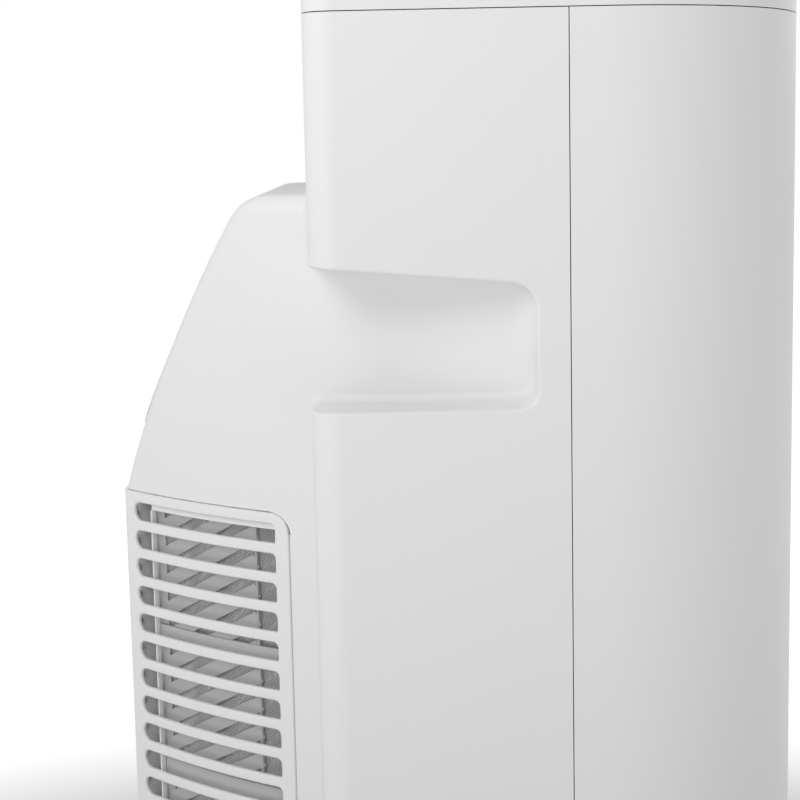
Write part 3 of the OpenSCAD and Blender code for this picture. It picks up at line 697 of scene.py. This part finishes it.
def make_rear_filter():
    """The filter behind the rear face of the panel, made the same way."""
    frame_bars, screen = Strips(), Strips()
    s0, s1 = S_MID - 44, S_MID
    depth = (5.9, 8.2)
    for side in (-1, 1):
        frame_bars.bar((s0 + 2, FILTER_LOW), (s0 + 2, FILTER_HIGH), 4, depth, side, 1)
        frame_bars.bar((s1 - 1.5, FILTER_LOW), (s1 - 1.5, FILTER_HIGH), 3, depth, side, 1)
        for z in (FILTER_LOW + 4, *FILTER_RAILS, FILTER_HIGH - 2):
            frame_bars.bar((s0, z), (s1, z), 4, depth, side, 1)
        for slope in STRAND_SLOPES:
            screen.slanted(s0, s1, FILTER_LOW, FILTER_HIGH, slope, STRAND_PITCH, STRAND_WIDTH,
                           (8.3, 8.6), side, 1)
    obj = frame_bars.to_object("rear_filter_frame", "grille", "filter_grey")
    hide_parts("rear_filter")
    add_bevel(obj, 0.3, 1)
    screen.to_object("rear_filter_screen", "grille", "filter_grey")


def make_panel_rails():
    """White guides moulded on the back of the grille panel that hold the filters."""
    rails = Strips()
    for side in (-1, 1):
        rails.bar((s_at(168.4), GRILLE_LOW + 4), (s_at(168.4), 474), 1.2, (WALL - 0.4, 5.9), side, 1)
        rails.bar((S_MID - 46, GRILLE_LOW + 4), (S_MID - 46, 474), 1.6, (WALL - 0.4, 13), side, 1)
        rails.bar((s_at(93), 477.1), (s_at(168), 477.1), 5.6, (WALL - 0.4, 6), side, 18)
    obj = rails.to_object("panel_rails", "grille", "shell_white")
    add_bevel(obj, 0.3, 1)
    return obj


def make_seam_lip():
    """The rear cover's lip that closes the seam behind the grille panel's edge."""
    lip = Strips()
    centre = np.array([GRILLE_CORNER_R, GRILLE_TOP - GRILLE_CORNER_R])
    for side in (-1, 1):
        lip.bar((0, GRILLE_LOW), (0, centre[1]), 9, (3.3, 5), side, 1)
        lip.bar((-0.7, GRILLE_LOW), (-0.7, centre[1]), 1.0, (1.1, 4), side, 1)
        lip.bar((centre[0], GRILLE_TOP), (S_MID, GRILLE_TOP), 9, (3.3, 5), side, 60)
        turn = np.radians(np.linspace(180, 90, 9))
        for a, b in zip(turn[:-1], turn[1:]):
            ends = [centre + GRILLE_CORNER_R * np.array([math.cos(t), math.sin(t)]) for t in (a, b)]
            lip.bar(ends[0], ends[1], 8, (3.3, 5), side, 1)
    return lip.to_object("seam_lip", "root", "shell_white")


def lathe(name, profile, steps, matrix, body, slot):
    """A ring turned from a closed profile of (radius, height) about Z, then placed by matrix."""
    verts, faces = [], []
    n = len(profile)
    for i in range(steps):
        a = 2 * math.pi * i / steps
        for r, h in profile:
            verts.append(matrix @ Vector((r * math.cos(a), r * math.sin(a), h)))
        k, j = i * n, ((i + 1) % steps) * n
        faces += [(k + m, j + m, j + (m + 1) % n, k + (m + 1) % n) for m in range(n)]
    obj = new_object(name, verts, faces, body, slot)
    obj.data.shade_smooth()
    obj.data.set_sharp_from_angle(angle=math.radians(35))
    return obj


def make_port_pad():
    """The shoulder round the exhaust collar, which falls away to meet the curved slope."""
    axis = Matrix.Translation((0, PORT_C[0], PORT_C[1])) @ Matrix.Rotation(PORT_A - math.pi / 2, 4, "X")
    drop, wide = 4.2, PAD_R - PORT_R - 1
    edge = [(PORT_R + 1 + wide * math.sin(a), 0.1 - drop * (1 - math.cos(a)))
            for a in np.linspace(1.57, 0, 9)]
    profile = [(PORT_R + 0.3, -5.8), (PAD_R, -5.8)] + edge + [(PORT_R + 0.3, -0.3)]
    return lathe("exhaust_pad", profile, 128, axis, "root", "shell_white")


# ---- Materials

def plastic(name, colour, roughness, grain, bump, scale=1500):
    """Moulded plastic: a fine etched grain and slight patches of colour and of gloss."""
    m = bpy.data.materials.new(name)
    m.use_nodes = True
    nodes, links = m.node_tree.nodes, m.node_tree.links
    shader = nodes["Principled BSDF"]
    where = nodes.new("ShaderNodeTexCoord")
    etched = nodes.new("ShaderNodeTexNoise")
    etched.inputs["Scale"].default_value = scale
    etched.inputs["Detail"].default_value = 3
    patch = nodes.new("ShaderNodeTexNoise")
    patch.inputs["Scale"].default_value = 9
    patch.inputs["Detail"].default_value = 5
    links.new(where.outputs["Object"], etched.inputs["Vector"])
    links.new(where.outputs["Object"], patch.inputs["Vector"])
    tint = nodes.new("ShaderNodeMix")
    tint.data_type = "RGBA"
    tint.inputs["A"].default_value = (*[c * (1 - grain) for c in colour], 1)
    tint.inputs["B"].default_value = (*[min(c * (1 + grain), 1) for c in colour], 1)
    links.new(patch.outputs["Fac"], tint.inputs["Factor"])
    links.new(tint.outputs["Result"], shader.inputs["Base Color"])
    gloss = nodes.new("ShaderNodeMapRange")
    gloss.inputs["To Min"].default_value = roughness - 0.06
    gloss.inputs["To Max"].default_value = roughness + 0.06
    links.new(patch.outputs["Fac"], gloss.inputs["Value"])
    links.new(gloss.outputs["Result"], shader.inputs["Roughness"])
    relief = nodes.new("ShaderNodeBump")
    relief.inputs["Strength"].default_value = bump
    relief.inputs["Distance"].default_value = 0.0001
    links.new(etched.outputs["Fac"], relief.inputs["Height"])
    links.new(relief.outputs["Normal"], shader.inputs["Normal"])
    return m


def metal(name, colour, roughness, stretch=(1, 1, 1), scale=400, bump=0.2):
    """Metal with a drawn or cast grain and uneven gloss."""
    m = plastic(name, colour, roughness, 0.06, bump, scale)
    nodes, links = m.node_tree.nodes, m.node_tree.links
    nodes["Principled BSDF"].inputs["Metallic"].default_value = 1.0
    turn = nodes.new("ShaderNodeMapping")
    turn.inputs["Scale"].default_value = stretch
    where = next(n for n in nodes if n.type == "TEX_COORD")
    links.new(where.outputs["Object"], turn.inputs["Vector"])
    for n in nodes:
        if n.type == "TEX_NOISE":
            links.new(turn.outputs["Vector"], n.inputs["Vector"])
    return m


FINISH = {
    "shell_white": plastic("shell_white", (0.80, 0.80, 0.795), 0.52, 0.012, 0.25),
    "button_white": plastic("button_white", (0.84, 0.84, 0.83), 0.38, 0.01, 0.12),
    "trim_grey": plastic("trim_grey", (0.42, 0.43, 0.44), 0.42, 0.03, 0.2),
    "filter_grey": plastic("filter_grey", (0.52, 0.525, 0.53), 0.6, 0.04, 0.3),
    "dark_plastic": plastic("dark_plastic", (0.035, 0.036, 0.04), 0.45, 0.1, 0.25),
    "display_black": plastic("display_black", (0.012, 0.012, 0.014), 0.14, 0.1, 0.02),
    "zinc_steel": metal("zinc_steel", (0.62, 0.63, 0.65), 0.36, (1, 1, 6)),
    "painted_black": plastic("painted_black", (0.02, 0.02, 0.022), 0.36, 0.15, 0.5, 300),
    "fin_aluminium": metal("fin_aluminium", (0.5, 0.51, 0.52), 0.5, (1, 1, 8)),
    "copper_tube": metal("copper_tube", (0.42, 0.23, 0.14), 0.5, (6, 1, 1)),
    "rubber_black": plastic("rubber_black", (0.03, 0.03, 0.03), 0.75, 0.12, 0.6, 700),
    "board_green": plastic("board_green", (0.02, 0.13, 0.05), 0.4, 0.12, 0.1, 300),
}


def node_slots():
    """The material slot of each CAD node, from the record."""
    return {row["node"]: row["material_slot"] for row in frame["record"]["subparts"]}


def dress():
    """Gives each CAD node and each new piece its finish, and rounds the CAD nodes' edges."""
    slots = node_slots()
    for name, obj in frame["nodes"].items():
        obj.data.materials.clear()
        obj.data.materials.append(FINISH[slots[name]])
        if not obj.hide_render and not name.endswith(("_coil", "_bends")) and name != "refrigerant_pipes":
            bevel = obj.modifiers.new("edges", "BEVEL")
            bevel.width = 0.35 * MM
            bevel.segments = 2
            bevel.angle_limit = math.radians(40)
    for obj in bpy.context.scene.objects:
        if obj.type == "MESH" and "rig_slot" in obj:
            obj.data.materials.clear()
            obj.data.materials.append(FINISH[obj["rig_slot"]])


# ---- Camera, light and floor

def look_at(obj, pan, tilt, roll):
    """Turns obj, which looks along +X at rest, by pan about +Z, then tilt up, then roll."""
    base = Matrix(((0, 0, -1), (-1, 0, 0), (0, 1, 0)))
    turn = Matrix.Rotation(pan, 3, "Z") @ Matrix.Rotation(-tilt, 3, "Y") @ Matrix.Rotation(roll, 3, "X")
    obj.rotation_mode = "QUATERNION"
    obj.rotation_quaternion = (turn @ base).to_quaternion()


def add_camera():
    data = bpy.data.cameras.new("camera")
    data.lens = 80.37
    data.sensor_width = 36
    data.clip_start = 0.05
    cam = bpy.data.objects.new("camera", data)
    bpy.context.scene.collection.objects.link(cam)
    cam.location = (-1.0655, 0.0320, 0.6744)
    look_at(cam, math.radians(-0.329), math.radians(-8.216), math.radians(1.174))
    bpy.context.scene.camera = cam


def add_area(name, place, target, size, power):
    data = bpy.data.lights.new(name, "AREA")
    data.shape = "SQUARE"
    data.size = size
    data.energy = power
    light = bpy.data.objects.new(name, data)
    light.location = place
    light.rotation_mode = "QUATERNION"
    light.rotation_quaternion = (Vector(target) - Vector(place)).to_track_quat("-Z", "Y")
    bpy.context.scene.collection.objects.link(light)


SKY = 0.45


def add_sky():
    """Plain white where it is seen, and dimmer as a light."""
    world = bpy.data.worlds.new("studio")
    world.use_nodes = True
    nodes, links = world.node_tree.nodes, world.node_tree.links
    seen = nodes.new("ShaderNodeLightPath")
    mix = nodes.new("ShaderNodeMix")
    links.new(seen.outputs["Is Camera Ray"], mix.inputs["Factor"])
    mix.inputs["A"].default_value = SKY
    mix.inputs["B"].default_value = 1.0
    background = nodes["Background"]
    background.inputs["Color"].default_value = (1, 1, 1, 1)
    links.new(mix.outputs["Result"], background.inputs["Strength"])
    bpy.context.scene.world = world


def add_floor():
    """A pale round floor that turns plain white away from the object."""
    verts, faces = [Vector((0, 0, 0))], []
    rings, steps = (800, 2000, 9000), 96
    for r in rings:
        turn = np.linspace(0, 2 * math.pi, steps, False)
        verts += [Vector((r * math.cos(a), r * math.sin(a), 0)) for a in turn]
    for i in range(steps):
        j = (i + 1) % steps
        faces.append((0, 1 + i, 1 + j))
        for ring in range(len(rings) - 1):
            k = 1 + ring * steps
            faces.append((k + i, k + steps + i, k + steps + j, k + j))
    mesh = bpy.data.meshes.new("floor")
    mesh.from_pydata([tuple(v * MM) for v in verts], [], faces)
    floor = bpy.data.objects.new("floor", mesh)
    bpy.context.scene.collection.objects.link(floor)
    m = plastic("floor", (0.5, 0.5, 0.5), 0.7, 0.01, 0.1, 300)
    nodes, links = m.node_tree.nodes, m.node_tree.links
    where = nodes.new("ShaderNodeTexCoord")
    far = nodes.new("ShaderNodeVectorMath")
    far.operation = "LENGTH"
    links.new(where.outputs["Object"], far.inputs[0])
    white = nodes.new("ShaderNodeMapRange")
    white.interpolation_type = "SMOOTHSTEP"
    white.inputs["From Min"].default_value = 0.5
    white.inputs["From Max"].default_value = 1.15
    white.inputs["To Max"].default_value = 0.85
    links.new(far.outputs["Value"], white.inputs["Value"])
    shader = nodes["Principled BSDF"]
    shader.inputs["Emission Color"].default_value = (1, 1, 1, 1)
    links.new(white.outputs["Result"], shader.inputs["Emission Strength"])
    mesh.materials.append(m)


def add_studio():
    bpy.context.scene.view_settings.view_transform = "Standard"
    add_sky()
    add_floor()
    add_area("key", (-0.95, 0.75, 1.15), (-0.2, 0.0, 0.5), 0.6, 2.4)
    add_area("key_high", (-0.85, 0.5, 1.35), (-0.2, 0.0, 0.5), 0.6, 3.05)
    add_area("top", (0.0, 0.1, 2.2), (0.0, 0.1, 0.0), 1.0, 4.0)
    add_area("fill", (1.3, -1.1, 1.2), (0.0, -0.1, 0.4), 0.9, 5.0)


# ---- Build

make_rear_cover()
make_front_cover()
make_top_cover()
make_grille()
make_panel_rails()
make_side_filters()
make_rear_filter()
make_seam_lip()
make_port_pad()
dress()
add_camera()
add_studio()
